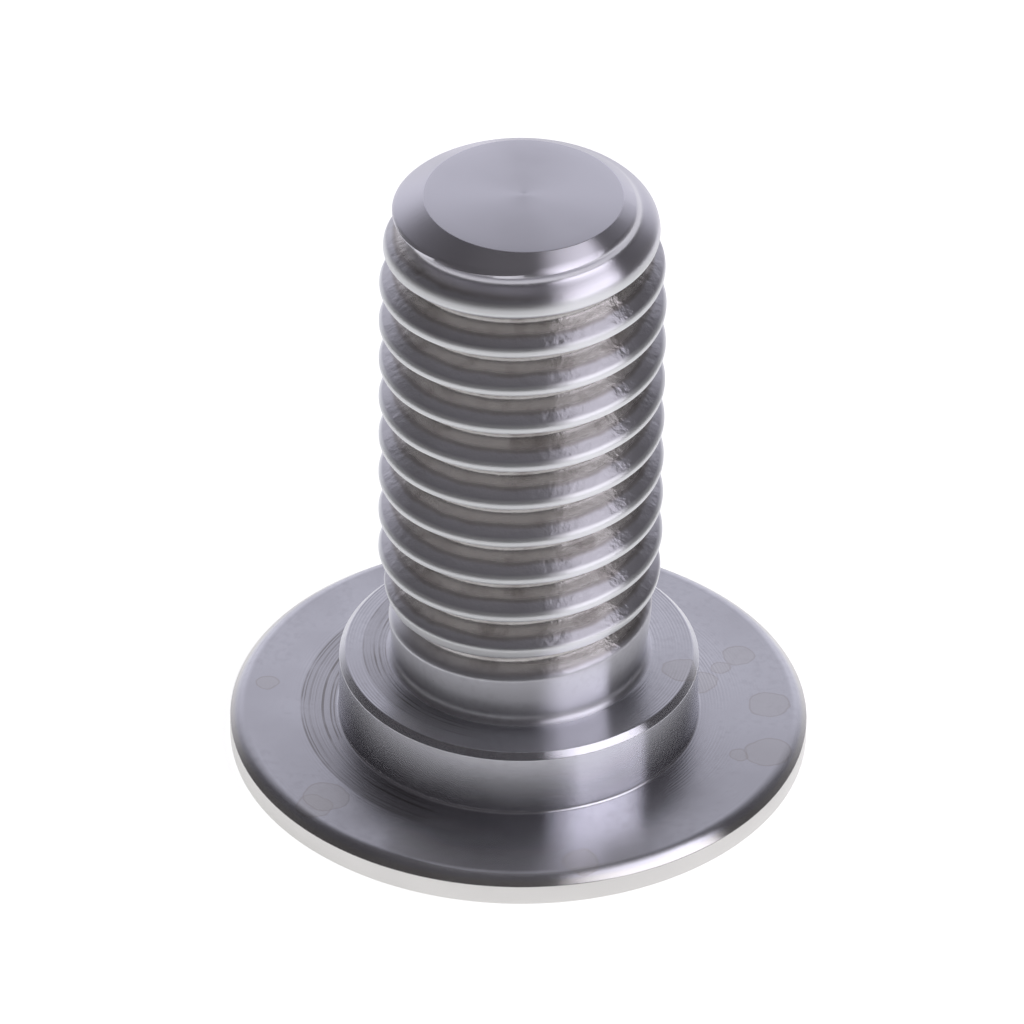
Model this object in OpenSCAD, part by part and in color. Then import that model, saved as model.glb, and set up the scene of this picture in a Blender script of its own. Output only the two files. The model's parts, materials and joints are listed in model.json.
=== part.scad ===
// Brake rotor bolt: one turned piece with a round flange head, a locating shoulder,
// a short neck and a right-hand screw thread. It stands on its head: the origin is the
// middle of the head's outer face and +Z runs along the shank to the tip.

/* [Flange head] */

// Diameter of the round flange
flange_d = 16; // [14:0.1:18]
// Thickness of the flange from its outer face to its bearing face
flange_t = 0.9; // [0.7:0.05:1.5]
// Radial width of the chamfer round the bearing face
flange_chamfer_w = 0.3; // [0.1:0.02:0.4]
// Height of the chamfer round the bearing face
flange_chamfer_h = 0.24; // [0.1:0.02:0.3]
// Edge break round the outer face of the head
head_edge = 0.1; // [0.05:0.01:0.15]

/* [Drive socket] */

// Hex socket in the outer face, measured across the flats
socket_af = 5; // [4:0.5:5.5]
// Depth of the hex socket
socket_depth = 2.6; // [2:0.1:3]
// Width of the lead-in chamfer beyond the socket's corners
socket_lead = 0.12; // [0.05:0.01:0.2]

/* [Shoulder] */

// Diameter of the shoulder that locates the rotor
shoulder_d = 9.95; // [9.5:0.05:11]
// Height of the shoulder above the bearing face
shoulder_h = 1.95; // [1.8:0.05:3]
// Chamfer on the shoulder's upper edge
shoulder_chamfer = 0.17; // [0.1:0.01:0.3]
// Fillet where the shoulder meets the bearing face
shoulder_fillet = 0.1; // [0.06:0.02:0.3]

/* [Neck] */

// Diameter of the plain neck at its foot, on the shoulder
neck_d = 6.86; // [6.6:0.02:7]
// Diameter of the neck at its top, under the thread
neck_top_d = 7.3; // [7:0.02:7.5]
// Height from the shoulder's top to the neck's top
neck_h = 2.1; // [2:0.05:3]
// Height of the cone from the neck's top up to the thread's full diameter
neck_cone_h = 0.85; // [0.5:0.05:1]
// Fillet where the neck meets the shoulder's top
neck_fillet = 0.26; // [0.1:0.02:0.3]

/* [Thread] */

// Diameter over the thread crests
thread_d = 7.8; // [7.6:0.02:8]
// Rise of the thread in one turn
pitch = 1.25; // [1:0.25:1.25]
// Depth of the thread as a share of its pitch
depth_ratio = 0.58; // [0.5:0.01:0.6]
// Width of the flat crest
crest_w = 0.24; // [0.15:0.01:0.3]
// Angle of each flank to the plane across the axis
flank_angle = 30; // [25:1:30]
// Middle of the last groove below the neck's top, at the front
runout_drop = 0.15; // [0:0.05:0.3]

/* [Tip] */

// Overall height from the head's outer face to the tip
length = 18; // [16:0.5:30]
// Diameter of the flat end face inside the tip's chamfer
tip_flat_d = 5.42; // [5:0.02:6]
// Height of the tip's chamfer, below the end face
tip_chamfer_h = 0.58; // [0.4:0.02:0.8]
// Diameter at the foot of the tip's chamfer, where the taper begins
tip_taper_d = 7.22; // [6.8:0.02:7.5]
// Height of the taper, over which the first crests grow to the full diameter
tip_taper_h = 1.32; // [0.8:0.02:2]

/* [Hidden] */

// Facets of the round surfaces
$fn = 96;
// Steps of the thread groove in one turn
groove_steps = 36;
// Steps of the neck's curve
neck_steps = 6;
// Extra reach of a cutter beyond the surface it leaves
cut_over = 0.08;

flange_r = flange_d / 2;
shoulder_r = shoulder_d / 2;
shoulder_top = flange_t + shoulder_h;
neck_r = neck_d / 2;
neck_top_r = neck_top_d / 2;
neck_top = shoulder_top + neck_h;
neck_spread = neck_top_r - neck_r;
thread_r = thread_d / 2;
tip_r = tip_flat_d / 2;
taper_foot = length - tip_chamfer_h - tip_taper_h;
socket_r = socket_af / 2 / cos(30);
lead_r = socket_r + socket_lead;
lead_end_r = socket_af / 2 - cut_over;
lead_h = lead_r - lead_end_r;

// Groove section: root width, and the width where it leaves the crests
thread_depth = depth_ratio * pitch;
root_r = thread_r - thread_depth;
root_w = pitch - crest_w - 2 * thread_depth * tan(flank_angle);
mouth_r = thread_r + cut_over;
mouth_w = root_w + 2 * (mouth_r - root_r) * tan(flank_angle);

// Groove path: angles count from the front (-Y), rising to the right
front = -90;
last_groove_z = neck_top - runout_drop;
full_from = -90;
runout_from = -270;
runout_shift = neck_top_r + cut_over - root_r;
exit_to = 360 * (length + mouth_w - last_groove_z) / pitch;
groove_count = ceil((exit_to - runout_from) / 360 * groove_steps);
groove_turn = (exit_to - runout_from) / groove_count;

// How far the groove has moved out of the metal at a given angle of its path
function run_out(a) = a >= full_from ? 0 : runout_shift * (full_from - a) / (full_from - runout_from);

// One corner of the groove's section, on its helical path
function groove_point(a, r, dz) = [
    (r + run_out(a)) * cos(a + front),
    (r + run_out(a)) * sin(a + front),
    last_groove_z + pitch * a / 360 + dz
];

// The four corners of the section at one step: root low, root high, mouth high, mouth low
function groove_section(a) = [
    groove_point(a, root_r, -root_w / 2),
    groove_point(a, root_r, root_w / 2),
    groove_point(a, mouth_r, mouth_w / 2),
    groove_point(a, mouth_r, -mouth_w / 2)
];

// Solid cutter of the whole helical groove
module thread_groove() {
    points = [for (i = [0 : groove_count]) each groove_section(runout_from + i * groove_turn)];
    last = 4 * groove_count;
    sides = [for (i = [0 : groove_count - 1]) for (k = [0 : 3]) each [
        [4 * i + k, 4 * i + 4 + k, 4 * i + (k + 1) % 4],
        [4 * i + (k + 1) % 4, 4 * i + 4 + k, 4 * i + 4 + (k + 1) % 4]
    ]];
    start_cap = [[0, 1, 2], [0, 2, 3]];
    end_cap = [[last, last + 2, last + 1], [last, last + 3, last + 2]];
    polyhedron(points = points, faces = concat(sides, start_cap, end_cap), convexity = 24);
}

// Fillet of radius f in the inner corner at radius r and height z
module corner_fillet(r, z, f) {
    translate([r, z])
        difference() {
            square([f, f]);
            translate([f, f])
                circle(r = f);
        }
}

// One point of the neck's section, at a share t of its height; the neck grows steeper to its top
function neck_point(t) = [neck_r + neck_spread * t * (2 - t), shoulder_top + neck_h * t];

// Half section of the turned blank
module blank_section() {
    polygon([
        [0, 0],
        [flange_r - head_edge, 0],
        [flange_r, head_edge],
        [flange_r, flange_t - flange_chamfer_h],
        [flange_r - flange_chamfer_w, flange_t],
        [shoulder_r, flange_t],
        [shoulder_r, shoulder_top - shoulder_chamfer],
        [shoulder_r - shoulder_chamfer, shoulder_top],
        for (i = [0 : neck_steps]) neck_point(i / neck_steps),
        [thread_r, neck_top + neck_cone_h],
        [thread_r, taper_foot],
        [tip_taper_d / 2, length - tip_chamfer_h],
        [tip_r, length],
        [0, length]
    ]);
    corner_fillet(shoulder_r, flange_t, shoulder_fillet);
    corner_fillet(neck_r, shoulder_top, neck_fillet);
}

// Hex socket with its lead-in chamfer
module drive_socket() {
    translate([0, 0, -cut_over])
        cylinder(h = socket_depth + cut_over, r = socket_r, $fn = 6);
    translate([0, 0, -cut_over])
        cylinder(h = lead_h + cut_over, r1 = lead_r + cut_over, r2 = lead_end_r);
}

module rotor_bolt() {
    color([0.66, 0.66, 0.7])
        difference() {
            rotate_extrude()
                blank_section();
            thread_groove();
            drive_socket();
        }
}

rotor_bolt();
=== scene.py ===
"""Brake rotor bolt: one turned steel piece with a screw thread, standing on its flange head in a studio."""

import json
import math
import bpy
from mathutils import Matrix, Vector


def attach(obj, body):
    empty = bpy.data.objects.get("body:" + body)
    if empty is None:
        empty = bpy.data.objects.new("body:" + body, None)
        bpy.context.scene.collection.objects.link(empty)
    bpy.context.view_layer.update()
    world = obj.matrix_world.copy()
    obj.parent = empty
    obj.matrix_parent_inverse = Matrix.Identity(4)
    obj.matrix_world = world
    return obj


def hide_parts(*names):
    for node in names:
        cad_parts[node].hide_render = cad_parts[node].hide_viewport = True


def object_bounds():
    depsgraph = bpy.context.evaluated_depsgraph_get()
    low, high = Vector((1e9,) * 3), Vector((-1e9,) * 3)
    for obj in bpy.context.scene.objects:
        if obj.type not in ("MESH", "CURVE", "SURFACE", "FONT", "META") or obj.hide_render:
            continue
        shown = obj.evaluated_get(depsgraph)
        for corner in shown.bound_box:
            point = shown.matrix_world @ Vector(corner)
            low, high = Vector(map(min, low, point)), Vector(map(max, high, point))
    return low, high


bl_info = {
    "name": "Brake rotor bolt",
    "version": (1, 0, 0),
    "blender": (4, 5, 0),
    "location": "View3D > Sidebar > Rotor bolt",
    "description": "Turns a flange bolt with a shoulder and a screw thread, and sets up its studio",
    "category": "Object",
}

import bmesh
import bpy
from bpy.props import FloatProperty, FloatVectorProperty, IntProperty, PointerProperty
from mathutils import Matrix, Vector

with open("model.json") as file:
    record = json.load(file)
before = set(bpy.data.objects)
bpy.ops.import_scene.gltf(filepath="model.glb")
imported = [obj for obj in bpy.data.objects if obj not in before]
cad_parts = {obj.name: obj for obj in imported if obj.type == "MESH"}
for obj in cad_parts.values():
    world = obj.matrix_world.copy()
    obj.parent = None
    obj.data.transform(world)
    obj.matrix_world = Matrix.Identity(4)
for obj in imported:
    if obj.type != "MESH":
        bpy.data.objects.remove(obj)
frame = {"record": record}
CAD_LOW, CAD_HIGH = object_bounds()

MM = 0.001
MOUNTS = {mount["name"]: mount for mount in frame["record"]["mounts"]}
FLANGE_D = min(CAD_HIGH[0] - CAD_LOW[0], CAD_HIGH[1] - CAD_LOW[1])
LENGTH = CAD_HIGH[2]
FLANGE_T = MOUNTS["bearing_face"]["pos_m"][2]
SHOULDER_D = 2 * MOUNTS["shoulder"]["dims"]["r_mm"] * MM
THREAD_D = 2 * MOUNTS["thread"]["dims"]["r_mm"] * MM
SOCKET_DEPTH = MOUNTS["drive_socket"]["dims"]["length_mm"] * MM

BOLT = "rotor_bolt_turned"


def length(name, description, default):
    """A size in metres."""
    return FloatProperty(name=name, description=description, default=default, precision=5, unit="LENGTH")


def angle(name, description, degrees):
    """An angle, written in degrees."""
    return FloatProperty(name=name, description=description, default=math.radians(degrees), unit="ROTATION")


def share(name, description, default):
    """A plain number from nought to one."""
    limits = {"min": 0.0, "max": 1.0}
    return FloatProperty(name=name, description=description, default=default, subtype="FACTOR", **limits)


def colour(name, description, default):
    """A colour in linear light."""
    return FloatVectorProperty(name=name, description=description, default=default, size=3, subtype="COLOR")


class RotorBoltSizes(bpy.types.PropertyGroup):
    """Sizes of the turned bolt"""

    flange_d: length("Flange diameter", "Across the round flange", FLANGE_D)
    flange_t: length("Flange thickness", "From the outer face to the bearing face", FLANGE_T)
    flange_chamfer_w: length("Flange chamfer width", "Radial width of the chamfer on the flange", 0.3 * MM)
    flange_chamfer_h: length("Flange chamfer height", "Height of the chamfer on the flange", 0.24 * MM)
    flange_round: length("Flange edge round", "Rounding of the edge inside the flange's chamfer", 0.42 * MM)
    head_edge: length("Head edge", "Edge break round the outer face", 0.1 * MM)
    socket_af: length("Socket", "Hex socket across its flats", 5.0 * MM)
    socket_depth: length("Socket depth", "Depth of the hex socket", SOCKET_DEPTH)
    socket_lead: length("Socket lead-in", "Chamfer beyond the socket's corners", 0.12 * MM)
    shoulder_d: length("Shoulder diameter", "Across the locating shoulder", SHOULDER_D)
    shoulder_h: length("Shoulder height", "Shoulder above the bearing face", 1.95 * MM)
    shoulder_chamfer: length("Shoulder chamfer", "Chamfer on the shoulder's upper edge", 0.17 * MM)
    shoulder_fillet: length("Shoulder fillet", "Fillet at the shoulder's foot", 0.1 * MM)
    neck_d: length("Neck foot diameter", "Across the plain neck on the shoulder", 6.86 * MM)
    neck_top_d: length("Neck top diameter", "Across the neck under the thread", 7.3 * MM)
    neck_h: length("Neck height", "From the shoulder's top to the neck's top", 2.1 * MM)
    neck_cone_h: length("Neck cone", "Height of the cone from neck to thread", 0.85 * MM)
    neck_fillet: length("Neck fillet", "Fillet at the neck's foot", 0.26 * MM)
    thread_d: length("Thread diameter", "Over the thread's crests", THREAD_D)
    pitch: length("Pitch", "Rise of the thread in one turn", 1.25 * MM)
    thread_depth: length("Thread depth", "From crest to root", 0.725 * MM)
    crest_w: length("Crest width", "Width of the flat crest", 0.2 * MM)
    crest_round: length("Crest rounding", "Reach of the rounding at the crest's edges", 0.13 * MM)
    root_round: length("Root rounding", "Reach of the rounding at the root", 0.12 * MM)
    flank: angle("Flank angle", "Each flank to the plane across the axis", 30.0)
    runout_drop: length("Run-out drop", "Last groove below the neck's top, at the front", 0.15 * MM)
    tip_flat_d: length("Tip flat", "Diameter of the end face", 5.42 * MM)
    tip_chamfer_h: length("Tip chamfer", "Height of the chamfer below the end face", 0.58 * MM)
    tip_taper_d: length("Tip taper", "Diameter at the foot of the tip's chamfer", 7.22 * MM)
    tip_taper_h: length("Tip taper height", "Height over which the first crests grow to full size", 1.32 * MM)
    tip_round: length("Tip rounding", "Reach of the rounding between the tip's chamfer and taper", 0.16 * MM)
    ridge_round: length("Ridge rounding", "Reach of the rounding where the tip cuts the thread", 0.32 * MM)
    edge_round: length("Edge rounding", "Radius of the small turned edges", 0.05 * MM)
    tip_rise: length("Tip rise", "Height of the domed end face's centre over its rim", 0.06 * MM)
    turn_steps: IntProperty(name="Steps a turn", description="Columns of faces round the bolt", default=168)


class RotorBoltFinish(bpy.types.PropertyGroup):
    """Colours and finish of the turned steel"""

    steel: colour("Steel", "Bare turned steel", (0.6, 0.602, 0.642))
    worn: colour("Worn steel", "Steel in its duller clouds", (0.558, 0.558, 0.595))
    # Painted highlight: the crests are brighter than the bare steel so that their reflected line shows
    # brighter
    crest: colour("Thread crests", "Steel on the crests of the thread", (0.78, 0.79, 0.8))
    flank: colour("Thread flanks", "Flanks of the thread, a little dull", (0.515, 0.51, 0.545))
    # Tool-scored steel, laid only on the left side away from the soft box: partly real scoring, partly
    # painted shade
    tooled_shade: colour("Tooled steel", "Dull steel where a tool has scored it", (0.26, 0.25, 0.25))
    end: colour("End face", "Clean steel of the end face", (0.64, 0.635, 0.68))
    rim: colour("Flange rim", "Steel of the flange's rim, less blue", (0.625, 0.617, 0.6))
    tip: colour("Tip chamfer", "Duller steel of the tip's chamfer", (0.64, 0.632, 0.68))
    tooled_roughness: share("Tooled roughness", "Roughness where a tool has scored the steel", 0.24)
    crest_roughness: share("Crest roughness", "Roughness of the thread's crests", 0.38)
    tip_roughness: share("Tip roughness", "Roughness of the tip's chamfer", 0.3)
    # Partly painted reflection: the film's warm tone in the root stands in for the floor seen twice in the
    # groove
    film_and_reflection: colour("Thread film", "Dull film in the root of the thread", (0.53, 0.513, 0.5))
    # Also colours the painted dark line along the film's edge, a painted reflection of the crest's dark edge
    dark_film_and_painted_line: colour("Dark film", "Film where it lies thick", (0.27, 0.245, 0.235))
    film_edge: length("Film edge", "Radius out to which the film covers the flanks", 3.5 * MM)
    flank_roughness: share("Flank roughness", "Roughness of the thread's flanks", 0.37)
    film_roughness: share("Film roughness", "Roughness of the thread's root", 0.27)
    stain: colour("Stain", "Dried water marks on the flange", (0.54, 0.525, 0.515))
    stain_rim: colour("Stain rim", "Rims of the water marks", (0.42, 0.39, 0.38))
    speck: colour("Speck", "Small dark pits", (0.12, 0.11, 0.11))
    wall_roughness: share("Wall roughness", "Mean roughness of the turned walls", 0.24)
    neck_roughness: share("Neck roughness", "Mean roughness of the neck", 0.31)
    face_roughness: share("Face roughness", "Mean roughness of the level faces", 0.19)
    stretch: share("Stretch", "How far the turning marks stretch the gloss across them", 0.97)
    score_pitch: length("Score spacing", "Spacing of the scored rings", 0.075 * MM)
    mark_pitch: length("Mark spacing", "Spacing of the lathe marks", 0.09 * MM)
    mark_depth: length("Mark depth", "Depth of the lathe marks", 0.0015 * MM)
    uneven_depth: length("Flank unevenness", "Depth of the thread's fine unevenness", 0.026 * MM)
    uneven_scale: FloatProperty(name="Flank grain", description="Fine bumps in a millimetre", default=2.5)


class RotorBoltStudio(bpy.types.PropertyGroup):
    """Camera, light and floor"""

    view_distance: length("Camera distance", "From the camera to the bolt's middle", 329.64 * MM)
    view_elevation: angle("Camera elevation", "Height of the camera over the floor, as an angle", 35.3)
    view_roll: angle("Camera roll", "Turn of the camera about its own axis", 0.564)
    view_lens: FloatProperty(name="Lens", description="Focal length", default=424.0, unit="CAMERA")
    view_centre: length("View centre", "Height on the axis that the distance is taken from", 9.0 * MM)
    view_right: length("View shift right", "Aim of the camera to the right of the axis", -0.234 * MM)
    view_up: length("View shift up", "Aim of the camera above the view centre", -1.236 * MM)
    key_azimuth: angle("Key azimuth", "Soft box, round from the camera to the right", 61.5)
    key_elevation: angle("Key elevation", "Soft box, above the floor", 46.0)
    key_distance: length("Key distance", "From the bolt to the soft box", 0.5)
    key_width: length("Key width", "Width of the soft box", 0.4)
    key_height: length("Key height", "Height of the soft box", 0.35)
    key_level: FloatProperty(name="Key level", description="Brightness of the soft box", default=2.3)
    key_tint: colour("Key tint", "Colour of the soft box", (0.985, 0.955, 1.04))
    ceiling: colour("Ceiling", "Dim ceiling of the studio", (0.15, 0.143, 0.15))
    room: colour("Room", "Dark studio walls", (0.078, 0.073, 0.078))
    backdrop: colour("Backdrop", "Pale sheet behind the bolt", (0.92, 0.912, 1.015))
    floor: colour("Floor", "Pale floor", (0.8, 0.8, 0.8))
    floor_glow: share("Floor glow", "White that the floor shows the camera and the metal", 0.85)


def smooth_min(a, b, reach):
    """The smaller of two heights, with their corner rounded over the given reach."""
    overlap = max(reach - abs(a - b), 0.0) / reach
    return min(a, b) - overlap * overlap * reach / 4


def last_groove_height(sizes):
    """Height of the middle of the last groove, at the front."""
    return sizes.flange_t + sizes.shoulder_h + sizes.neck_h - sizes.runout_drop


def half_root(sizes):
    """Half the width of the groove's root."""
    return (sizes.pitch - sizes.crest_w) / 2 - sizes.thread_depth * math.tan(sizes.flank)


def groove_radius(sizes, offset):
    """Radius of the thread at a height away from the middle of its groove."""
    crest = sizes.thread_d / 2
    root = crest - sizes.thread_depth
    flank = root + (abs(offset) - half_root(sizes)) / math.tan(sizes.flank)
    bottom = -smooth_min(-root, -flank, sizes.root_round)
    return smooth_min(bottom, crest, sizes.crest_round)


# Degrees of the groove's path from the front: where it is full, and where it has left the metal
FULL_FROM = -90.0
RUNOUT_FROM = -270.0


def run_out(sizes, path):
    """How far the groove has left the metal at an angle of its path from the front."""
    lift = sizes.neck_top_d / 2 + sizes.root_round - sizes.thread_d / 2 + sizes.thread_depth
    share_out = (FULL_FROM - path) / (FULL_FROM - RUNOUT_FROM)
    return lift * max(share_out, 0.0)


def neck_radius(sizes, height):
    """Radius of the curved neck and of the cone above it, at a height."""
    share_up = (height - sizes.flange_t - sizes.shoulder_h) / sizes.neck_h
    if share_up < 1.0:
        spread = sizes.neck_top_d - sizes.neck_d
        return (sizes.neck_d + spread * share_up * (2.0 - share_up)) / 2
    above = (share_up - 1.0) * sizes.neck_h / sizes.neck_cone_h
    return (sizes.neck_top_d + (sizes.thread_d - sizes.neck_top_d) * above) / 2


def tip_radius(sizes, height):
    """Radius of the tip's chamfer and of the taper below it, at a height."""
    taper = sizes.tip_taper_d / 2
    chamfer_foot = LENGTH - sizes.tip_chamfer_h
    chamfer_h = sizes.tip_chamfer_h - sizes.tip_rise
    chamfer = taper + (taper - sizes.tip_flat_d / 2) * (chamfer_foot - height) / chamfer_h
    growing = taper + (sizes.thread_d / 2 - taper) * (chamfer_foot - height) / sizes.tip_taper_h
    return smooth_min(chamfer, growing, sizes.tip_round)


def shank_radius(sizes, turn, height):
    """Radius of the shank at an angle from the front and a height."""
    start = last_groove_height(sizes)
    laps = round((height - start) / sizes.pitch - turn / 360)
    path = turn + 360 * laps
    offset = height - start - sizes.pitch * path / 360
    groove = groove_radius(sizes, offset) + run_out(sizes, path)
    neck = neck_radius(sizes, height)
    tip = tip_radius(sizes, height)
    return smooth_min(smooth_min(groove, neck, sizes.crest_round), tip, sizes.ridge_round)


# Where rows of the mesh lie, as shares of the half root, of the flank and of the half crest
ROOT_STEPS = (0.0, 0.4, 0.7)
FLANK_STEPS = (0.0, 0.1, 0.25, 0.45, 0.65, 0.78, 0.85, 0.9, 0.94, 0.97)
CREST_STEPS = (0.0, 0.15, 0.3, 0.45, 0.62, 1.0)


def thread_rows(sizes):
    """Row heights of one pitch from the middle of a groove: close at the corners, wide on the flanks."""
    root = half_root(sizes)
    crest = sizes.pitch / 2 - sizes.crest_w / 2
    rows = [root * step for step in ROOT_STEPS]
    rows += [root + (crest - root) * step for step in FLANK_STEPS]
    rows += [crest + sizes.crest_w / 2 * step for step in CREST_STEPS]
    return rows + [sizes.pitch - height for height in rows[-2:0:-1]]


def rounded_path(corners, steps):
    """A turned path through corners (radius, height, rounding), with each rounding as an arc."""
    path = [corners[0][:2]]
    for before, corner, after in zip(corners, corners[1:], corners[2:]):
        point = Vector(corner[:2])
        back = (Vector(before[:2]) - point).normalized()
        ahead = (Vector(after[:2]) - point).normalized()
        if corner[2] == 0.0:
            path.append(tuple(point))
            continue
        half = back.angle(ahead) / 2
        middle = point + (back + ahead).normalized() * corner[2] / math.sin(half)
        first = point + back * corner[2] / math.tan(half) - middle
        last = point + ahead * corner[2] / math.tan(half) - middle
        sweep = first.angle_signed(last)
        for step in range(steps + 1):
            turned = Matrix.Rotation(-sweep * step / steps, 2) @ first
            path.append(tuple(middle + turned))
    path.append(corners[-1][:2])
    return path


def start_fresh():
    """Leaves edit mode and clears the selection."""
    if bpy.context.mode != "OBJECT":
        bpy.ops.object.mode_set(mode="OBJECT")
    bpy.ops.object.select_all(action="DESELECT")


def pick(piece):
    """Makes one piece the only selected and the active object."""
    start_fresh()
    piece.select_set(True)
    bpy.context.view_layer.objects.active = piece


def select_rim(piece, height):
    """Selects the open edges of a mesh that lie at one height."""
    bpy.ops.mesh.select_mode(type="EDGE")
    bpy.ops.mesh.select_all(action="DESELECT")
    rim = bmesh.from_edit_mesh(piece.data)
    for edge in rim.edges:
        level = all(abs(vertex.co.z - height) < 0.002 * MM for vertex in edge.verts)
        if edge.is_boundary and level:
            edge.select_set(True)
    bmesh.update_edit_mesh(piece.data)


def extrude_rings(path):
    """Extrudes the selected ring of edges from point to point of a turned path."""
    for (radius, height), (next_radius, next_height) in zip(path, path[1:]):
        rise = {"value": (0.0, 0.0, next_height - height)}
        bpy.ops.mesh.extrude_region_move(TRANSFORM_OT_translate=rise)
        grow = next_radius / radius
        bpy.ops.transform.resize(value=(grow, grow, 1.0), center_override=(0.0, 0.0, next_height))


def trim_across(height, **side):
    """Cuts the mesh level at a height and clears one side of the cut."""
    bpy.ops.mesh.select_all(action="SELECT")
    level = {"plane_co": (0.0, 0.0, height), "plane_no": (0.0, 0.0, 1.0), "threshold": 0.0001 * MM}
    bpy.ops.mesh.bisect(**level, **side)


def close_ring():
    """Closes the selected ring with a fan of faces to its middle."""
    bpy.ops.mesh.extrude_region_move()
    bpy.ops.mesh.merge(type="CENTER")


def thread_foot(sizes):
    """Height at which the plain neck passes into the threaded mesh."""
    return sizes.flange_t + sizes.shoulder_h + 0.45 * sizes.neck_fillet + 0.4 * MM


# Depth below the tip at which the threaded mesh ends and the end face is turned on
TIP_CUT = 0.25 * MM
# Faces in each rounded corner of the turned path
ARC_STEPS = 6
# Rings of the domed end face, as shares of its radius
DOME_STEPS = (0.85, 0.7, 0.55, 0.4, 0.25)


def make_thread(sizes):
    """Screws one column of points round the axis, then cuts the run-out, the neck and the tip's chamfer."""
    foot = thread_foot(sizes)
    rows = thread_rows(sizes)
    quarter = last_groove_height(sizes) + sizes.pitch / 4
    first_lap = math.floor((foot - quarter) / sizes.pitch) - 1
    last_lap = math.ceil((LENGTH - quarter) / sizes.pitch)
    heights = [quarter + lap * sizes.pitch + row for lap in range(first_lap, last_lap) for row in rows]
    start_fresh()
    bpy.ops.mesh.primitive_plane_add(size=MM)
    bolt = bpy.context.object
    bolt.name = BOLT
    bpy.ops.object.mode_set(mode="EDIT")
    bpy.ops.mesh.merge(type="CENTER")
    radius = sizes.thread_d / 2
    bpy.ops.transform.translate(value=(radius, 0.0, heights[0]))
    for low, high in zip(heights, heights[1:]):
        bpy.ops.mesh.extrude_vertices_move(TRANSFORM_OT_translate={"value": (0.0, 0.0, high - low)})
    bpy.ops.object.mode_set(mode="OBJECT")
    screw = bolt.modifiers.new("Thread", "SCREW")
    screw.axis = "Z"
    screw.angle = math.tau
    screw.screw_offset = sizes.pitch
    screw.steps = sizes.turn_steps
    screw.render_steps = sizes.turn_steps
    bpy.ops.object.modifier_apply(modifier=screw.name)
    for vertex in bolt.data.vertices:
        x, y, z = vertex.co
        turn = math.degrees(math.atan2(x, -y))
        grow = shank_radius(sizes, turn, z) / radius
        vertex.co = (x * grow, y * grow, z)
    bpy.ops.object.mode_set(mode="EDIT")
    bpy.ops.mesh.select_all(action="SELECT")
    bpy.ops.mesh.remove_doubles(threshold=0.001 * MM)
    trim_across(foot, clear_inner=True)
    trim_across(LENGTH - TIP_CUT, clear_outer=True)
    return bolt


def turn_head(sizes, bolt):
    """Turns the neck, the shoulder and the flange down from the thread's foot, and presses the hex socket."""
    foot = thread_foot(sizes)
    neck = sizes.neck_d / 2
    shoulder = sizes.shoulder_d / 2
    shoulder_top = sizes.flange_t + sizes.shoulder_h
    flange = sizes.flange_d / 2
    edge = sizes.edge_round
    corner = sizes.socket_af / 2 / math.cos(math.radians(30))
    lead = corner + sizes.socket_lead
    path = rounded_path(
        [
            (neck_radius(sizes, foot), foot, 0.0),
            (neck, shoulder_top, sizes.neck_fillet),
            (shoulder - sizes.shoulder_chamfer, shoulder_top, edge),
            (shoulder, shoulder_top - sizes.shoulder_chamfer, edge),
            (shoulder, sizes.flange_t, sizes.shoulder_fillet),
            (flange - sizes.flange_chamfer_w, sizes.flange_t, sizes.flange_round),
            (flange, sizes.flange_t - sizes.flange_chamfer_h, edge),
            (flange, sizes.head_edge, edge),
            (flange - sizes.head_edge, 0.0, edge),
            (lead, 0.0, 0.0),
        ],
        ARC_STEPS,
    )
    select_rim(bolt, foot)
    extrude_rings(path)
    bpy.ops.mesh.extrude_region_move()
    head = bmesh.from_edit_mesh(bolt.data)
    ring = [vertex for vertex in head.verts if vertex.select]
    for vertex in ring:
        round_from_flat = (math.degrees(math.atan2(vertex.co.y, vertex.co.x)) + 30) % 60 - 30
        wall = sizes.socket_af / 2 / math.cos(math.radians(abs(abs(round_from_flat) - 30)))
        grow = wall / lead
        vertex.co = (vertex.co.x * grow, vertex.co.y * grow, lead - wall)
    bmesh.update_edit_mesh(bolt.data)
    bpy.ops.mesh.extrude_region_move()
    head = bmesh.from_edit_mesh(bolt.data)
    for vertex in head.verts:
        if vertex.select:
            vertex.co.z = sizes.socket_depth
    bmesh.update_edit_mesh(bolt.data)
    close_ring()


def face_tip(sizes, bolt):
    """Turns the end of the chamfer and the faintly raised end face with its turning pip."""
    rise = sizes.tip_rise
    rim_height = LENGTH - rise
    flat = tip_radius(sizes, rim_height)
    dome = [(flat * step, LENGTH - rise * step**2, 0.0) for step in DOME_STEPS]
    path = rounded_path(
        [
            (tip_radius(sizes, LENGTH - TIP_CUT), LENGTH - TIP_CUT, 0.0),
            (flat, rim_height, 1.6 * sizes.edge_round),
            *dome,
            (0.2 * MM, LENGTH - 0.07 * rise, 0.0),
            (0.1 * MM, LENGTH - 0.03 * rise, 0.0),
            (0.05 * MM, LENGTH - 0.06 * rise, 0.0),
        ],
        ARC_STEPS,
    )
    select_rim(bolt, LENGTH - TIP_CUT)
    extrude_rings(path)
    close_ring()


class RotorBoltTurn(bpy.types.Operator):
    """Turns the whole bolt: thread, neck, shoulder, flange head with its socket, and tip"""

    bl_idname = "rotor_bolt.turn"
    bl_label = "Turn the bolt"

    def execute(self, context):
        sizes = context.scene.rotor_bolt_sizes
        bolt = make_thread(sizes)
        turn_head(sizes, bolt)
        face_tip(sizes, bolt)
        bpy.ops.mesh.select_all(action="SELECT")
        bpy.ops.mesh.normals_make_consistent(inside=False)
        bpy.ops.object.mode_set(mode="OBJECT")
        pick(bolt)
        bpy.ops.object.shade_smooth_by_angle(angle=math.radians(40))
        bolt.data.materials.clear()
        bolt.data.materials.append(turned_steel(context.scene.rotor_bolt_finish, sizes))
        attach(bolt, "root")
        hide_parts("rotor_bolt")
        return {"FINISHED"}


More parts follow.
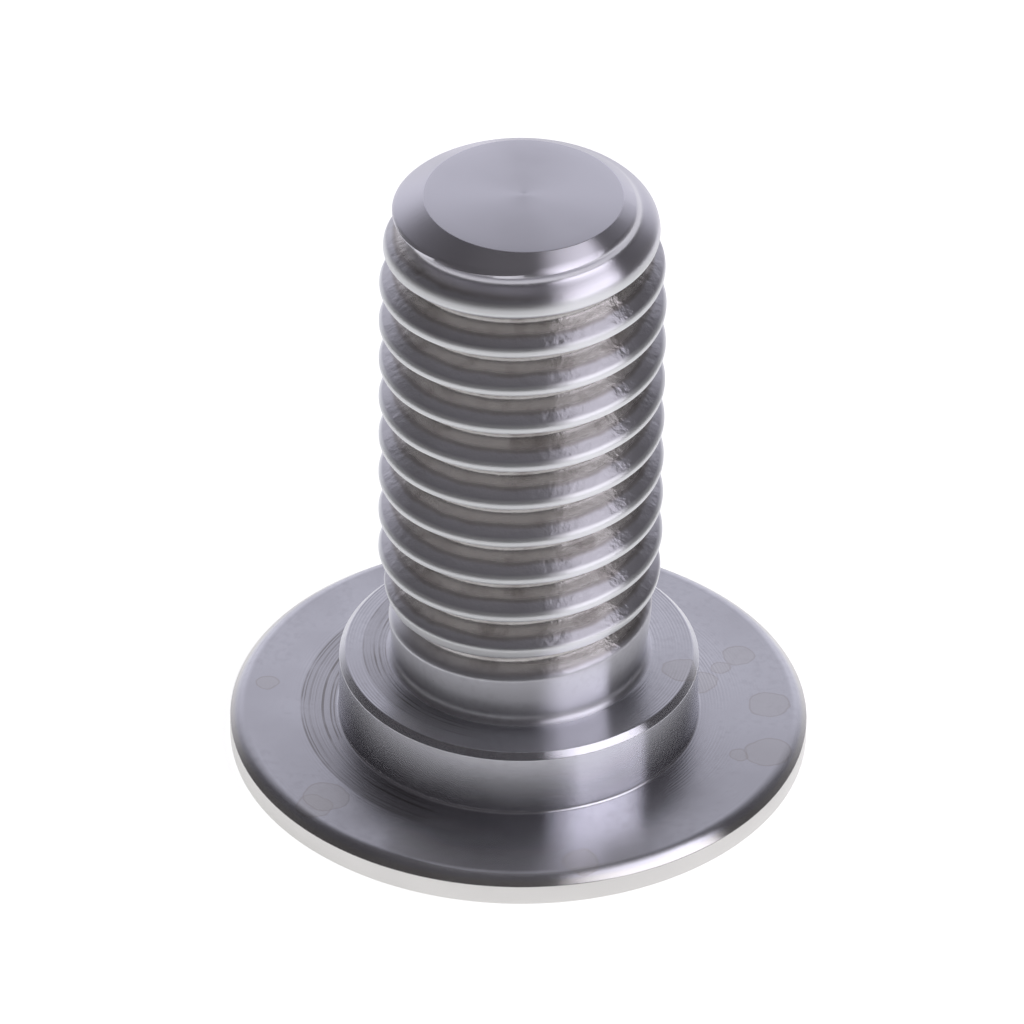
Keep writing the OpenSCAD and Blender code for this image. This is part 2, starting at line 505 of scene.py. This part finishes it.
def put(tree, kind, inputs=None, **settings):
    """Adds a node, with its settings, and fills or links its inputs."""
    node = tree.nodes.new(kind)
    for name, value in settings.items():
        setattr(node, name, value)
    for name, value in (inputs or {}).items():
        if isinstance(value, bpy.types.NodeSocket):
            tree.links.new(value, node.inputs[name])
        else:
            node.inputs[name].default_value = value
    return node


def sum_up(tree, operation, first, second=0.0):
    """One arithmetic step; returns its result."""
    return put(tree, "ShaderNodeMath", {0: first, 1: second}, operation=operation).outputs[0]


def product(tree, first, *others):
    """Several values multiplied together."""
    for other in others:
        first = sum_up(tree, "MULTIPLY", first, other)
    return first


def noise(tree, place, scale, detail):
    """Random clouds, as a value about a half; the scale counts them in a millimetre."""
    inputs = {"Vector": place, "Scale": scale / MM, "Detail": detail}
    return put(tree, "ShaderNodeTexNoise", inputs).outputs[0]


def ramp(tree, value, low, high, to_low=0.0, to_high=1.0):
    """A smooth step of a value from one level to another."""
    inputs = {"Value": value, "From Min": low, "From Max": high, "To Min": to_low, "To Max": to_high}
    return put(tree, "ShaderNodeMapRange", inputs, interpolation_type="SMOOTHSTEP").outputs[0]


def blend(tree, mask, under, over):
    """Lays one colour over another through a mask."""
    node = put(tree, "ShaderNodeMix", {0: mask, 6: under, 7: over}, data_type="RGBA")
    return node.outputs[2]


def radius_and_height(tree, place):
    """Distance from the bolt's axis, and height."""
    parts = put(tree, "ShaderNodeSeparateXYZ", {0: place}).outputs
    across = sum_up(tree, "MULTIPLY", parts[0], parts[0])
    along = sum_up(tree, "MULTIPLY", parts[1], parts[1])
    return sum_up(tree, "SQRT", sum_up(tree, "ADD", across, along)), parts[2]


def new_group(name, inputs, outputs):
    """An empty node group with its sockets; returns the tree, its input node and its output node."""
    tree = bpy.data.node_groups.new(name, "ShaderNodeTree")
    for label, kind in inputs:
        tree.interface.new_socket(label, in_out="INPUT", socket_type=kind)
    for label, kind in outputs:
        tree.interface.new_socket(label, in_out="OUTPUT", socket_type=kind)
    return tree, tree.nodes.new("NodeGroupInput"), tree.nodes.new("NodeGroupOutput")


def lathe_marks():
    """Group: uneven rings about the axis, as a turning tool leaves them, from -1 to 1."""
    tree, given, made = new_group(
        "lathe_marks",
        [("Place", "NodeSocketVector"), ("Spacing", "NodeSocketFloat")],
        [("Height", "NodeSocketFloat")],
    )
    radius, height = radius_and_height(tree, given.outputs["Place"])
    path = sum_up(tree, "ADD", radius, sum_up(tree, "MULTIPLY", height, 0.9))
    count = sum_up(tree, "DIVIDE", path, given.outputs["Spacing"])
    uneven = put(tree, "ShaderNodeTexNoise", {"W": count, "Scale": 0.3}, noise_dimensions="1D").outputs[0]
    turns = sum_up(tree, "MULTIPLY", sum_up(tree, "ADD", count, uneven), math.tau)
    depth = ramp(tree, uneven, 0.35, 0.65, 0.3, 1.0)
    rings = sum_up(tree, "MULTIPLY", sum_up(tree, "SINE", turns), depth)
    tree.links.new(rings, made.inputs["Height"])
    return tree


def scored_rings():
    """Group: broken dark rings about the axis, where a tool has scored the metal."""
    tree, given, made = new_group(
        "scored_rings",
        [("Place", "NodeSocketVector"), ("Spacing", "NodeSocketFloat")],
        [("Mask", "NodeSocketFloat")],
    )
    radius, _ = radius_and_height(tree, given.outputs["Place"])
    patches = noise(tree, given.outputs["Place"], 0.7, 2.0)
    drift = ramp(tree, patches, 0.3, 0.7, -0.15, 0.15)
    count = sum_up(tree, "ADD", sum_up(tree, "DIVIDE", radius, given.outputs["Spacing"]), drift)
    inputs = {"W": count, "Scale": 1.0, "Detail": 2.0}
    rings = put(tree, "ShaderNodeTexNoise", inputs, noise_dimensions="1D").outputs[0]
    broken = ramp(tree, patches, 0.35, 0.6, 0.25, 1.0)
    mask = sum_up(tree, "MULTIPLY", ramp(tree, rings, 0.48, 0.68), broken)
    tree.links.new(mask, made.inputs["Mask"])
    return tree


def water_mark():
    """Group: one dried drop of water, as a mask of its body and one of its rim."""
    tree, given, made = new_group(
        "water_mark",
        [("Place", "NodeSocketVector"), ("Middle", "NodeSocketVector"), ("Radius", "NodeSocketFloat")],
        [("Body", "NodeSocketFloat"), ("Rim", "NodeSocketFloat")],
    )
    inputs = {0: given.outputs["Place"], 1: given.outputs["Middle"]}
    away = put(tree, "ShaderNodeVectorMath", inputs, operation="DISTANCE").outputs["Value"]
    wobble = ramp(tree, noise(tree, given.outputs["Place"], 1.4, 2.0), 0.3, 0.7, -0.06 * MM, 0.06 * MM)
    inside = sum_up(tree, "SUBTRACT", sum_up(tree, "ADD", away, wobble), given.outputs["Radius"])
    tree.links.new(ramp(tree, inside, 0.03 * MM, -0.03 * MM), made.inputs["Body"])
    off_rim = sum_up(tree, "ABSOLUTE", inside)
    tree.links.new(ramp(tree, off_rim, 0.045 * MM, 0.01 * MM), made.inputs["Rim"])
    return tree


def specks():
    """Group: a few small pits, scattered at random."""
    tree, given, made = new_group(
        "specks",
        [("Place", "NodeSocketVector"), ("Scale", "NodeSocketFloat")],
        [("Mask", "NodeSocketFloat")],
    )
    inputs = {"Vector": given.outputs["Place"], "Scale": given.outputs["Scale"]}
    cells = put(tree, "ShaderNodeTexVoronoi", inputs).outputs
    chance = put(tree, "ShaderNodeSeparateColor", {0: cells["Color"]}).outputs
    size = ramp(tree, chance[0], 0.84, 1.0, 0.0, 0.08)
    mask = ramp(tree, sum_up(tree, "SUBTRACT", cells["Distance"], size), 0.0, -0.05)
    tree.links.new(mask, made.inputs["Mask"])
    return tree


# Dried drops of water: place of the middle and radius, in millimetres
WATER_MARKS = (
    (6.95, 0.15, 0.9, 0.56),
    (6.9, -2.05, 0.9, 0.6),
    (6.05, -2.2, 0.9, 0.24),
    (5.0, 1.15, 0.9, 0.5),
    (6.1, 2.45, 0.9, 0.42),
    (5.6, 1.9, 0.9, 0.25),
    (-5.6, -4.75, 0.9, 0.48),
    (-5.25, -4.3, 0.9, 0.6),
    (-7.0, 0.9, 0.9, 0.3),
    (1.75, -7.1, 0.9, 0.48),
    (4.45, -0.9, 2.85, 0.5),
)


def line_up(tree, height, foot, top):
    """Radius at a height on the straight line through two points (radius, height)."""
    steep = (top[0] - foot[0]) / (top[1] - foot[1])
    inputs = {0: height, 1: steep, 2: foot[0] - steep * foot[1]}
    return put(tree, "ShaderNodeMath", inputs, operation="MULTIPLY_ADD").outputs[0]


def under_crest(tree, sizes, radius, height):
    """Depth below the local crest, which is lower on the neck's cone and on the tip's taper."""
    crest = sizes.thread_d / 2
    neck_top = sizes.flange_t + sizes.shoulder_h + sizes.neck_h
    chamfer_foot = LENGTH - sizes.tip_chamfer_h
    full_from = (crest, neck_top + sizes.neck_cone_h)
    full_to = (crest, chamfer_foot - sizes.tip_taper_h)
    dull_land = 0.085 * MM
    cone = line_up(tree, height, (sizes.neck_top_d / 2 + dull_land, neck_top), full_from)
    taper = line_up(tree, height, full_to, (sizes.tip_taper_d / 2, chamfer_foot))
    local = sum_up(tree, "MINIMUM", sum_up(tree, "MINIMUM", cone, taper), crest)
    plain = ramp(tree, height, neck_top - 0.05 * MM, neck_top, 0.3 * MM, 0.0)
    return sum_up(tree, "ADD", sum_up(tree, "SUBTRACT", local, radius), plain)


def thread_colour(tree, finish, sizes, place, bare):
    """Lays the thread's duller flanks, its brighter crests as a painted highlight, and the film in its root,
    partly painted reflection and edged with a painted dark line, over the bare steel; returns the colour, the
    thread's roughness, the mask of the thread and the fine relief of its flanks."""
    radius, height = radius_and_height(tree, place)
    foot = last_groove_height(sizes) - sizes.pitch / 2
    low = ramp(tree, height, foot, foot + sizes.pitch / 2)
    high = ramp(tree, height, LENGTH - 0.9 * MM, LENGTH - 1.2 * MM)
    threaded = product(tree, low, high)
    below_crest = under_crest(tree, sizes, radius, height)
    inside = ramp(tree, below_crest, 0.04 * MM, 0.12 * MM)
    patches = noise(tree, place, 1.1, 3.0)
    inputs = {0: patches, 1: 0.16 * MM, 2: finish.film_edge - 0.08 * MM}
    uneven_edge = put(tree, "ShaderNodeMath", inputs, operation="MULTIPLY_ADD").outputs[0]
    beyond = sum_up(tree, "SUBTRACT", radius, uneven_edge)
    # Film in the root, partly painted reflection: its warm tone stands in for the floor seen twice in the
    # groove; its dark patches are dirt.
    deep = product(tree, ramp(tree, beyond, 0.08 * MM, -0.08 * MM), threaded)
    # Painted dark line along the film's edge: it stands in for the crest's dark edge seen reflected in the
    # flank.
    painted_dark_line = ramp(tree, sum_up(tree, "ABSOLUTE", beyond), 0.11 * MM, 0.0, 0.0, 0.6)
    thick = ramp(tree, patches, 0.5, 0.7, 0.0, 0.6)
    # Painted highlight: brighter steel on the crests, duller flank steel below them.
    thread = blend(tree, inside, (*finish.crest, 1.0), (*finish.flank, 1.0))
    film_and_reflection = blend(tree, thick, (*finish.film_and_reflection, 1.0), (*finish.dark_film_and_painted_line, 1.0))
    colours = blend(tree, threaded, bare, thread)
    colours = blend(tree, deep, colours, film_and_reflection)
    # Lays the painted dark line over the flanks.
    colours = blend(tree, product(tree, painted_dark_line, threaded), colours, (*finish.dark_film_and_painted_line, 1.0))
    ridge = ramp(tree, below_crest, 0.14 * MM, 0.07 * MM)
    rough = ramp(tree, deep, 0.0, 1.0, finish.flank_roughness, finish.film_roughness)
    rough = ramp(tree, ridge, 0.0, 1.0, rough, finish.crest_roughness)
    inputs = {"Vector": place, "Scale": finish.uneven_scale / MM, "Detail": 3.0, "Roughness": 0.6}
    waves = sum_up(tree, "SUBTRACT", put(tree, "ShaderNodeTexNoise", inputs).outputs[0], 0.5)
    waves = product(tree, waves, finish.uneven_depth / finish.mark_depth)
    flank = product(tree, threaded, ramp(tree, ridge, 1.0, 0.0))
    return colours, rough, threaded, product(tree, waves, flank)


def water_and_pits(tree, finish, place, colours):
    """Lays the dried water marks and the small pits over the steel's colours."""
    drop = water_mark()
    for x, y, z, size in WATER_MARKS:
        inputs = {"Place": place, "Middle": (x * MM, y * MM, z * MM), "Radius": size * MM}
        mark = put(tree, "ShaderNodeGroup", inputs, node_tree=drop).outputs
        colours = blend(tree, product(tree, mark["Body"], 0.4), colours, (*finish.stain, 1.0))
        colours = blend(tree, product(tree, mark["Rim"], 0.35), colours, (*finish.stain_rim, 1.0))
    inputs = {"Place": place, "Scale": 1.3 / MM}
    pits = put(tree, "ShaderNodeGroup", inputs, node_tree=specks()).outputs["Mask"]
    return blend(tree, product(tree, pits, 0.7), colours, (*finish.speck, 1.0))


def turned_steel(finish, sizes):
    """Bare turned steel: gloss stretched across the lathe marks, film in the thread that is partly painted
    reflection, a painted highlight on the crests, tool scoring that is partly painted shade on the left,
    water marks and pits.
    """
    material = bpy.data.materials.new("turned_steel")
    material.use_nodes = True
    tree = material.node_tree
    shader = tree.nodes["Principled BSDF"]
    surface = put(tree, "ShaderNodeTexCoord").outputs
    place = surface["Object"]
    radius, height = radius_and_height(tree, place)
    sideways = put(tree, "ShaderNodeSeparateXYZ", {0: place}).outputs[0]
    upright = put(tree, "ShaderNodeSeparateXYZ", {0: surface["Normal"]}).outputs[2]
    level = ramp(tree, upright, 0.9, 0.99)
    steep = ramp(tree, level, 1.0, 0.0)
    below_tip = ramp(tree, height, LENGTH - 0.3 * MM, LENGTH - 0.2 * MM, 1.0, 0.0)

    cloud = noise(tree, place, 0.35, 3.0)
    grime = ramp(tree, noise(tree, place, 5.0, 4.0), 0.42, 0.72, 0.0, 0.9)
    dulled = sum_up(tree, "MAXIMUM", ramp(tree, cloud, 0.45, 0.7), grime)
    bare = blend(tree, product(tree, dulled, below_tip), (*finish.steel, 1.0), (*finish.worn, 1.0))
    bare = blend(tree, below_tip, (*finish.end, 1.0), bare)

    # Painted shade: the tool-scored darkening below lies only on the level faces left of the axis, the side
    # away from the soft box, so it is partly real scoring and partly painted shade.
    shaded_left = product(tree, ramp(tree, sideways, 0.0, -3.0 * MM), level, below_tip)
    by_neck = product(tree, ramp(tree, radius, 4.4 * MM, 4.25 * MM), shaded_left)
    on_flange = ramp(tree, radius, 4.9 * MM, 4.95 * MM)
    by_shoulder = product(tree, ramp(tree, radius, 6.08 * MM, 6.0 * MM), on_flange, shaded_left)
    scored_and_shaded = sum_up(tree, "MAXIMUM", by_shoulder, by_neck)
    inputs = {"Place": place, "Spacing": finish.score_pitch}
    rings = put(tree, "ShaderNodeGroup", inputs, node_tree=scored_rings()).outputs["Mask"]
    bare = blend(tree, product(tree, scored_and_shaded, 0.25), bare, (*finish.tooled_shade, 1.0))
    bare = blend(tree, product(tree, scored_and_shaded, rings, 0.9), bare, (*finish.tooled_shade, 1.0))

    rim = product(tree, ramp(tree, radius, 7.8 * MM, 7.92 * MM), steep)
    bare = blend(tree, rim, bare, (*finish.rim, 1.0))
    dull = product(tree, ramp(tree, height, LENGTH - 1.25 * MM, LENGTH - 1.05 * MM), steep)
    bare = blend(tree, dull, bare, (*finish.tip, 1.0))
    colours, thread_rough, threaded, waves = thread_colour(tree, finish, sizes, place, bare)
    tree.links.new(water_and_pits(tree, finish, place, colours), shader.inputs["Base Color"])

    wall = ramp(tree, radius, 3.75 * MM, 4.2 * MM, finish.neck_roughness, finish.wall_roughness)
    shade = ramp(tree, level, 0.0, 1.0, wall, finish.face_roughness)
    rough = sum_up(tree, "ADD", shade, ramp(tree, cloud, 0.3, 0.7, -0.025, 0.025))
    rough = ramp(tree, dull, 0.0, 1.0, rough, finish.tip_roughness)
    rough = ramp(tree, scored_and_shaded, 0.0, 1.0, rough, finish.tooled_roughness)
    rough = ramp(tree, threaded, 0.0, 1.0, rough, thread_rough)
    tree.links.new(rough, shader.inputs["Roughness"])

    inputs = {"Place": place, "Spacing": finish.mark_pitch}
    marks = put(tree, "ShaderNodeGroup", inputs, node_tree=lathe_marks()).outputs["Height"]
    aside = ramp(tree, sum_up(tree, "ABSOLUTE", sideways), 1.8 * MM, 3.6 * MM)
    near = ramp(tree, radius, 6.6 * MM, 5.6 * MM, 0.12, 1.0)
    on_end = ramp(tree, height, LENGTH - 0.2 * MM, LENGTH - 0.1 * MM, 1.0, 0.1)
    relief = sum_up(tree, "ADD", product(tree, marks, near, aside, on_end, level), waves)
    inputs = {"Height": relief, "Distance": finish.mark_depth, "Strength": 1.0}
    bump = put(tree, "ShaderNodeBump", inputs)
    tree.links.new(bump.outputs[0], shader.inputs["Normal"])
    shader.inputs["Metallic"].default_value = 1.0
    shader.inputs["Anisotropic"].default_value = finish.stretch
    shader.inputs["Anisotropic Rotation"].default_value = 0.25
    return material


def seen_rays(tree):
    """One for a ray from the camera, or by way of metal or glass, and nought for other light."""
    light = put(tree, "ShaderNodeLightPath").outputs
    sharp = sum_up(tree, "MAXIMUM", light["Is Camera Ray"], light["Is Glossy Ray"])
    return sum_up(tree, "MAXIMUM", sharp, light["Is Transmission Ray"])


def pale_floor(studio):
    """Pale floor that looks white to the camera and in the metal, and still takes the shadow."""
    material = bpy.data.materials.new("pale_floor")
    material.use_nodes = True
    tree = material.node_tree
    tree.nodes.clear()
    matt = put(tree, "ShaderNodeBsdfDiffuse", {"Color": (*studio.floor, 1.0)}).outputs[0]
    strength = sum_up(tree, "MULTIPLY", seen_rays(tree), studio.floor_glow)
    glow = put(tree, "ShaderNodeEmission", {"Strength": strength}).outputs[0]
    both = put(tree, "ShaderNodeAddShader", {0: matt, 1: glow}).outputs[0]
    put(tree, "ShaderNodeOutputMaterial", {"Surface": both})
    return material


def studio_walls(studio):
    """Dark room with a pale sheet behind the bolt that fades upwards and to its sides."""
    material = bpy.data.materials.new("studio_walls")
    material.use_nodes = True
    material.cycles.emission_sampling = "NONE"
    tree = material.node_tree
    tree.nodes.clear()
    place = put(tree, "ShaderNodeTexCoord").outputs["Object"]
    parts = put(tree, "ShaderNodeSeparateXYZ", {0: place}).outputs
    flat_x = sum_up(tree, "MULTIPLY", parts[0], parts[0])
    flat_y = sum_up(tree, "MULTIPLY", parts[1], parts[1])
    flat = sum_up(tree, "SQRT", sum_up(tree, "ADD", flat_x, flat_y))
    behind = sum_up(tree, "DIVIDE", parts[1], flat)
    across = ramp(tree, behind, math.cos(math.radians(57)), math.cos(math.radians(14)))
    up = ramp(tree, parts[2], math.sin(math.radians(72)), math.sin(math.radians(20)))
    sheet = sum_up(tree, "MULTIPLY", across, up)
    above = ramp(tree, parts[2], math.sin(math.radians(58)), math.sin(math.radians(78)))
    dim = blend(tree, above, (*studio.room, 1.0), (*studio.ceiling, 1.0))
    light = blend(tree, sheet, dim, (*studio.backdrop, 1.0))
    glow = put(tree, "ShaderNodeEmission", {"Color": light}).outputs[0]
    put(tree, "ShaderNodeOutputMaterial", {"Surface": glow})
    return material


def pale_world():
    """World that is white behind the bolt and dim as a light."""
    world = bpy.data.worlds.new("studio_world")
    world.use_nodes = True
    tree = world.node_tree
    tree.nodes.clear()
    strength = ramp(tree, seen_rays(tree), 0.0, 1.0, 0.3, 1.0)
    light = put(tree, "ShaderNodeBackground", {"Strength": strength}).outputs[0]
    light.node.inputs["Color"].default_value = (1.0, 1.0, 1.0, 1.0)
    put(tree, "ShaderNodeOutputWorld", {"Surface": light})
    return world


def look_at(target, eye, roll=0.0):
    """Turn of a camera or lamp at one point that faces another."""
    towards = (target - eye).to_track_quat("-Z", "Y").to_matrix().to_4x4()
    return Matrix.Translation(eye) @ towards @ Matrix.Rotation(roll, 4, "Z")


# The floor lies a hair below the head, so that the two level faces don't coincide
FLOOR_GAP = 0.02 * MM


class RotorBoltStage(bpy.types.Operator):
    """Sets up the floor, the studio walls, the soft box and the camera"""

    bl_idname = "rotor_bolt.stage"
    bl_label = "Set up the studio"

    def execute(self, context):
        scene = context.scene
        studio = scene.rotor_bolt_studio
        start_fresh()
        bpy.ops.mesh.primitive_plane_add(size=4.0, location=(0.0, 0.0, -FLOOR_GAP))
        floor = context.object
        floor.name = "studio_floor"
        floor.data.materials.append(pale_floor(studio))
        start_fresh()
        bpy.ops.mesh.primitive_uv_sphere_add(segments=48, ring_count=24, radius=1.0)
        walls = context.object
        walls.name = "studio_walls"
        walls.data.materials.append(studio_walls(studio))
        walls.visible_camera = False
        walls.visible_shadow = False

        start_fresh()
        out = math.cos(studio.key_elevation)
        towards = Vector((
            math.sin(studio.key_azimuth) * out,
            -math.cos(studio.key_azimuth) * out,
            math.sin(studio.key_elevation),
        ))
        middle = Vector((0.0, 0.0, studio.view_centre))
        bpy.ops.object.light_add(type="AREA")
        key = context.object
        key.name = "soft_box"
        key.data.shape = "RECTANGLE"
        key.data.size = studio.key_width
        key.data.size_y = studio.key_height
        key.data.energy = studio.key_level * math.pi * studio.key_width * studio.key_height
        key.data.color = studio.key_tint
        key.visible_camera = False
        key.matrix_world = look_at(middle, middle + towards * studio.key_distance)

        start_fresh()
        up = Vector((0.0, math.sin(studio.view_elevation), math.cos(studio.view_elevation)))
        away = Vector((0.0, -math.cos(studio.view_elevation), math.sin(studio.view_elevation)))
        aim = middle + Vector((studio.view_right, 0.0, 0.0)) + up * studio.view_up
        bpy.ops.object.camera_add()
        camera = context.object
        camera.name = "studio_camera"
        camera.data.lens = studio.view_lens
        camera.data.sensor_width = 36.0
        camera.data.clip_start = 0.01
        camera.data.clip_end = 10.0
        camera.matrix_world = look_at(aim, middle + away * studio.view_distance, studio.view_roll)
        scene.camera = camera

        scene.world = pale_world()
        scene.view_settings.view_transform = "Standard"
        return {"FINISHED"}


class RotorBoltPanel(bpy.types.Panel):
    """Sizes, finish and studio of the bolt"""

    bl_idname = "VIEW3D_PT_rotor_bolt"
    bl_label = "Rotor bolt"
    bl_space_type = "VIEW_3D"
    bl_region_type = "UI"
    bl_category = "Rotor bolt"

    def draw(self, context):
        scene = context.scene
        groups = (scene.rotor_bolt_sizes, scene.rotor_bolt_finish, scene.rotor_bolt_studio)
        for group in groups:
            box = self.layout.box()
            for name in group.bl_rna.properties.keys():
                if name not in ("rna_type", "name"):
                    box.prop(group, name)
        for operator in (RotorBoltTurn, RotorBoltStage):
            self.layout.operator(operator.bl_idname)


GROUPS = {
    "rotor_bolt_sizes": RotorBoltSizes,
    "rotor_bolt_finish": RotorBoltFinish,
    "rotor_bolt_studio": RotorBoltStudio,
}
CLASSES = (*GROUPS.values(), RotorBoltTurn, RotorBoltStage, RotorBoltPanel)


def register():
    """Makes the classes and the scene's settings known to Blender."""
    for made in CLASSES:
        bpy.utils.register_class(made)
    for name, group in GROUPS.items():
        setattr(bpy.types.Scene, name, PointerProperty(type=group))


def unregister():
    """Takes the settings and the classes out again."""
    for name in GROUPS:
        delattr(bpy.types.Scene, name)
    for made in reversed(CLASSES):
        bpy.utils.unregister_class(made)


def main():
    """Builds the bolt and its studio."""
    register()
    bpy.ops.rotor_bolt.turn()
    bpy.ops.rotor_bolt.stage()


if __name__ == "__main__":
    main()
